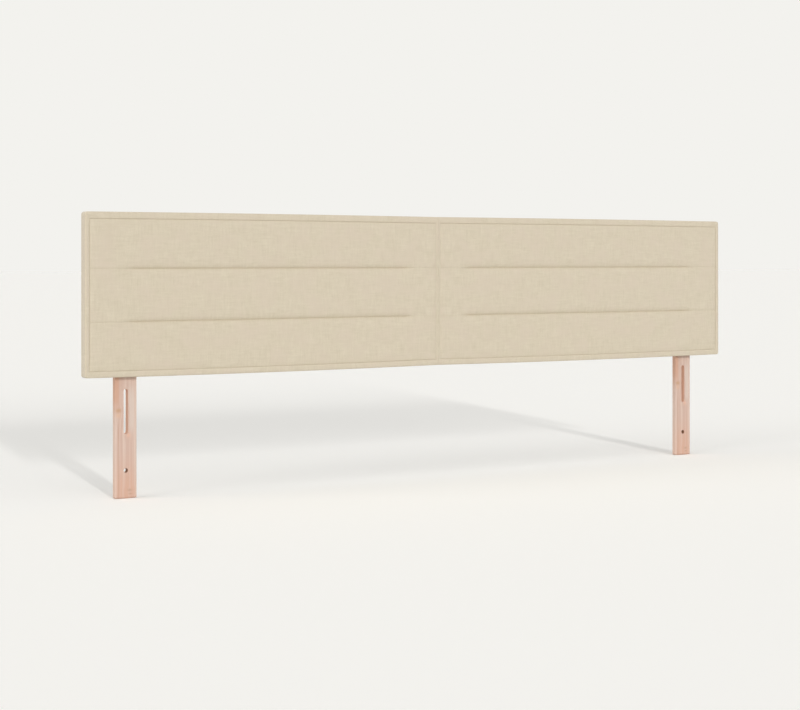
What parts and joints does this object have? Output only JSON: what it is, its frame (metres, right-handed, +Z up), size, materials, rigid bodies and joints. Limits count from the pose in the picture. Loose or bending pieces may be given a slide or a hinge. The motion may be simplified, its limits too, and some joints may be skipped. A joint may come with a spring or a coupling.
{
  "type": "upholstered headboard",
  "caption": "Low fabric headboard of two padded panels side by side, with stitched horizontal channels, on two flat slotted wooden legs.",
  "frame": {"origin": "on the floor, midway along the headboard and midway through its depth", "axes": "+X along the headboard to the right as seen from the front, +Y from the padded front to the back, +Z up"},
  "size_m": [2, 0.0449, 0.697],
  "materials": {
    "cover_fabric": "cream woven polyester, plain weave with fine slubs",
    "lining_fabric": "thin black non-woven lining",
    "larch_wood": "planed larch, pinkish, untreated",
    "engineered_wood": "raw engineered wood",
    "plywood": "raw thin plywood",
    "foam": "soft open-cell foam",
    "zinc_steel": "bright zinc-plated steel"
  },
  "bodies": {
    "root": {"left_back_lining": "lining_fabric", "left_bottom_rail": "engineered_wood", "left_cover_border": "cover_fabric", "left_cover_face": "cover_fabric", "left_foam_pad": "foam", "left_front_board": "plywood", "left_inner_stile": "engineered_wood", "left_leg": "larch_wood", "left_leg_bolts": "zinc_steel", "left_leg_stile": "engineered_wood", "left_leg_tee_nuts": "zinc_steel", "left_leg_washers": "zinc_steel", "left_middle_stile": "engineered_wood", "left_outer_stile": "engineered_wood", "left_top_rail": "engineered_wood", "lower_joining_plate": "zinc_steel", "lower_plate_screws": "zinc_steel", "right_back_lining": "lining_fabric", "right_bottom_rail": "engineered_wood", "right_cover_border": "cover_fabric", "right_cover_face": "cover_fabric", "right_foam_pad": "foam", "right_front_board": "plywood", "right_inner_stile": "engineered_wood", "right_leg": "larch_wood", "right_leg_bolts": "zinc_steel", "right_leg_stile": "engineered_wood", "right_leg_tee_nuts": "zinc_steel", "right_leg_washers": "zinc_steel", "right_middle_stile": "engineered_wood", "right_outer_stile": "engineered_wood", "right_top_rail": "engineered_wood", "upper_joining_plate": "zinc_steel", "upper_plate_screws": "zinc_steel"}
  },
  "joints": []
}
